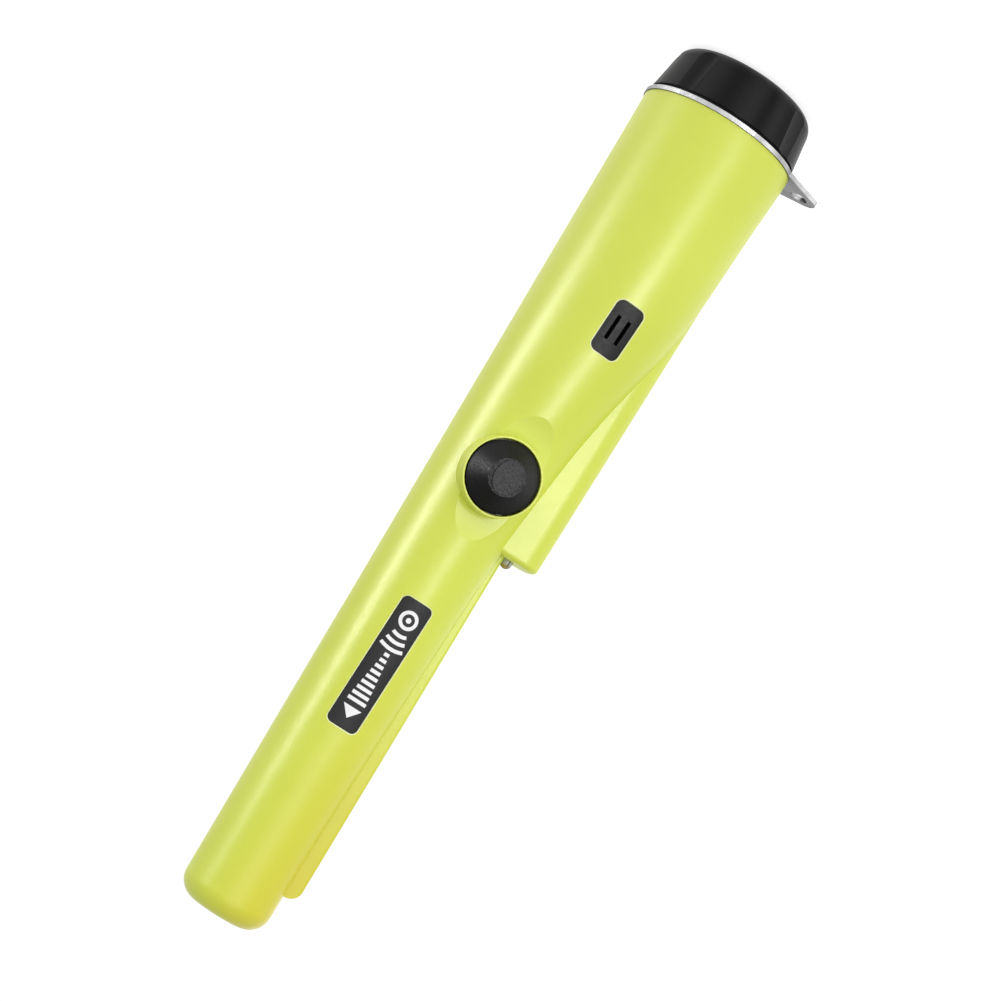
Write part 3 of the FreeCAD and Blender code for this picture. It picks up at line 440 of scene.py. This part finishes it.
MATERIALS = {
    "housing_plastic": housing_plastic(),
    "cap_plastic": cap_sheen_plastic(),
    "button_rubber": button_rubber(),
    "pad_plastic": speckled_pad(),
    "label_plastic": moulded_plastic("label_plastic", (0.022, 0.022, 0.0235),
                                     (0.018, 0.018, 0.0195), 0.5, specular=0.2),
    "grille_plastic": moulded_plastic("grille_plastic", (0.012, 0.012, 0.0125), DEEP_BLACK, 0.5,
                                      specular=0.22),
    "stamped_steel": stamped_steel(),
    "gasket_rubber": moulded_plastic("gasket_rubber", (0.003, 0.003, 0.003),
                                     (0.002, 0.002, 0.002), 0.7, specular=0.1),
    "clear_epoxy": clear_epoxy(),
    "foam": moulded_plastic("foam", (0.03, 0.03, 0.03), (0.012, 0.012, 0.012), 0.9, 0.0002, 0.1),
    "chip_plastic": moulded_plastic("chip_plastic", (0.015, 0.015, 0.016), BLACK, 0.5),
    "battery_case": moulded_plastic("battery_case", (0.03, 0.05, 0.16), (0.02, 0.04, 0.13), 0.3),
    "contact_steel": plain_metal("contact_steel", (0.7, 0.69, 0.66), 0.25),
    "circuit_board": circuit_board(),
    "ferrite": moulded_plastic("ferrite", (0.05, 0.048, 0.05), (0.035, 0.034, 0.036), 0.6, 0.0001),
    "copper": wound_copper(),
    "wire_cover": moulded_plastic("wire_cover", (0.35, 0.01, 0.008), (0.28, 0.008, 0.006), 0.4),
    # The lips round the label and grille are a painted highlight.
    "lip_highlight_plastic": moulded_plastic("lip_highlight_plastic", LIP_HIGHLIGHT, (0.80, 0.85, 0.42), 0.4),
    "label_ink": moulded_plastic("label_ink", (0.86, 0.86, 0.86), (0.8, 0.8, 0.8), 0.55, 0.00001),
}
PLAIN = moulded_plastic("inner_plastic", (0.05, 0.05, 0.05), (0.04, 0.04, 0.04))

for part in frame["record"]["subparts"]:
    node = NODES[part["node"]]
    node.data.materials.clear()
    node.data.materials.append(MATERIALS.get(part["material_slot"], PLAIN))


# ---------------------------------------------------------------- printed marks and painted highlight lips

# In metres: how far a mark stands off its face, and how far in front the rays to the face start.
INK_RAISE = 0.00004
RAY_START = 0.05

# In millimetres. The pale lip, a painted highlight along a window's rounded edge, lies from
# LIP_INNER to LIP_OUTER beyond it, and the grille has a hidden flange this much wider than its
# window all round.
LIP_INNER = 0.10
LIP_OUTER = 0.34
LABEL_CORNER = 1.4
GRILLE_CORNER = 1.7
GRILLE_FLANGE = 0.6


class Print:
    """Flat marks, drawn in millimetres round a node's middle and laid onto a curved face."""

    def __init__(self, name, middle_of, under):
        self.name = name
        low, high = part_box(middle_of)
        self.x, self.z = (low[0] + high[0]) / 2, (low[2] + high[2]) / 2
        mesh = NODES[under].data
        self.face = BVHTree.FromPolygons([v.co for v in mesh.vertices],
                                         [tuple(p.vertices) for p in mesh.polygons])
        self.vertices, self.faces = [], []

    def point(self, across, along):
        """Drop a point onto the face from in front and return its number."""
        x, z = self.x + across / 1000, self.z + along / 1000
        hit = self.face.ray_cast(Vector((x, -RAY_START, z)), Vector((0, 1, 0)))[0]
        self.vertices.append((x, hit.y - INK_RAISE, z))
        return len(self.vertices) - 1

    def patch(self, outline, steps_a, steps_b):
        """A grid of quads; outline(a, b) gives (across, along) for a and b from 0 to 1."""
        rows = [[self.point(*outline(a / steps_a, b / steps_b)) for a in range(steps_a + 1)]
                for b in range(steps_b + 1)]
        for low, high in zip(rows, rows[1:]):
            for left in range(steps_a):
                self.faces.append((low[left], low[left + 1], high[left + 1], high[left]))

    def bar(self, left, right, low, high):
        """A filled rectangle."""
        self.patch(lambda a, b: (left + (right - left) * a, low + (high - low) * b), 8, 2)

    def arc(self, centre, inner, outer, start, end, steps):
        """Part of a ring round (0, centre), its angles in degrees from straight up."""
        def outline(a, b):
            angle = math.radians(start + (end - start) * b)
            radius = inner + (outer - inner) * a
            return radius * math.sin(angle), centre + radius * math.cos(angle)
        self.patch(outline, 2, steps)

    def arrow(self, low, high, half_wide):
        """A filled triangle that points up."""
        self.patch(lambda a, b: ((a * 2 - 1) * half_wide * (1 - b), low + (high - low) * b), 8, 6)

    def rim(self, wide, long, corner, inner, outer, arc_steps=8, side_steps=18):
        """A strip round a rounded rectangle, from inner to outer beyond its edge."""
        half_wide, half_long = wide / 2 - corner, long / 2 - corner
        middles = [(half_wide, half_long), (-half_wide, half_long), (-half_wide, -half_long),
                   (half_wide, -half_long)]
        spots = []
        for quarter, (across, along) in enumerate(middles):
            for step in range(arc_steps + 1):
                angle = math.radians(90 * (quarter + step / arc_steps))
                spots.append((across, along, math.cos(angle), math.sin(angle)))
            next_across, next_along = middles[(quarter + 1) % 4]
            for step in range(1, side_steps):
                part = step / side_steps
                spots.append((across + (next_across - across) * part,
                              along + (next_along - along) * part,
                              math.cos(angle), math.sin(angle)))
        spots.append(spots[0])

        def outline(a, b):
            across, along, outward, upward = spots[round(b * (len(spots) - 1))]
            reach = corner + inner + (outer - inner) * a
            return across + outward * reach, along + upward * reach
        self.patch(outline, 3, len(spots) - 1)

    def finish(self, material):
        """Make all the marks one piece that rides the housing."""
        mesh = bpy.data.meshes.new(self.name)
        mesh.from_pydata(self.vertices, [], self.faces)
        mesh.materials.append(material)
        piece = bpy.data.objects.new(self.name, mesh)
        bpy.context.scene.collection.objects.link(piece)
        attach(piece, "housing")


def make_label_marks():
    """A target, signal waves leaving it, and a rising row of level bars toward the tip."""
    marks = Print("label_marks", "label_plate", "label_plate")
    line, target, target_radius, dot_radius = 0.85, -11.9, 1.5, 0.65
    marks.arc(target, target_radius, target_radius + line, 0, 360, 48)
    marks.arc(target, 0.0, dot_radius, 0, 360, 24)
    spread = 30
    for reach in (3.6, 5.4, 7.2):
        marks.arc(target, reach, reach + line, reach - spread, spread - reach, 20)
    bars, first, pitch = 9, -3.1, 1.55
    shortest, growth = 0.65, 1.75
    for number in range(bars):
        half_long = shortest + growth * number / (bars - 1)
        low = first + pitch * number
        marks.bar(-half_long, half_long, low, low + line)
    arrow_foot, arrow_tip, arrow_half_wide = 11.4, 14.2, 2.4
    marks.arrow(arrow_foot, arrow_tip, arrow_half_wide)
    marks.finish(MATERIALS["label_ink"])


def make_rim(name, node, corner, flange=0.0):
    """The housing's lip round an insert, pale as a painted highlight, whose hidden flange is left
    out.
    """
    low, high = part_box(node)
    lip = Print(name, node, "housing")
    lip.rim((high[0] - low[0]) * 1000, (high[2] - low[2]) * 1000, flange + corner,
            LIP_INNER - flange, LIP_OUTER - flange)
    lip.finish(MATERIALS["lip_highlight_plastic"])


# ---------------------------------------------------------------- the indicator lamp

LAMP_FLANGE_TALL = 0.001
LAMP_SIDES = 32
LAMP_RINGS = 10
SAME_POINT = 1e-6


def make_lamp():
    """The indicator lamp as one turned form: flange, column and a smooth round dome."""
    low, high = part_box("led")
    middle_x, middle_y = (low[0] + high[0]) / 2, (low[1] + high[1]) / 2
    flange, flange_top = (high[0] - low[0]) / 2, low[2] + LAMP_FLANGE_TALL
    dome_z = high[2] - LAMP_RADIUS
    outline = [(0, low[2]), (flange, low[2]), (flange, flange_top), (LAMP_RADIUS, flange_top),
               (LAMP_RADIUS, dome_z)]
    for step in range(1, LAMP_RINGS):
        angle = math.pi / 2 * step / LAMP_RINGS
        outline.append((LAMP_RADIUS * math.cos(angle), dome_z + LAMP_RADIUS * math.sin(angle)))
    outline.append((0, high[2]))
    vertices, faces = [], []
    for radius, z in outline:
        for step in range(LAMP_SIDES):
            angle = 2 * math.pi * step / LAMP_SIDES
            vertices.append((middle_x + radius * math.cos(angle),
                             middle_y + radius * math.sin(angle), z))
    for ring in range(len(outline) - 1):
        for step in range(LAMP_SIDES):
            here, beside = ring * LAMP_SIDES + step, ring * LAMP_SIDES + (step + 1) % LAMP_SIDES
            faces.append((here, beside, beside + LAMP_SIDES, here + LAMP_SIDES))
    mesh = bpy.data.meshes.new("lamp_lens")
    mesh.from_pydata(vertices, [], faces)
    shape = bmesh.new()
    shape.from_mesh(mesh)
    bmesh.ops.remove_doubles(shape, verts=shape.verts, dist=SAME_POINT)
    bmesh.ops.recalc_face_normals(shape, faces=shape.faces)
    shape.to_mesh(mesh)
    shape.free()
    for face in mesh.polygons:
        face.use_smooth = face.center.z > dome_z
    mesh.materials.append(MATERIALS["clear_epoxy"])
    lens = bpy.data.objects.new("lamp_lens", mesh)
    bpy.context.scene.collection.objects.link(lens)
    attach(lens, "housing")
    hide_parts("led")


make_label_marks()
make_lamp()
make_rim("label_lip", "label_plate", LABEL_CORNER)
make_rim("grille_lip", "speaker_grille", GRILLE_CORNER, GRILLE_FLANGE)
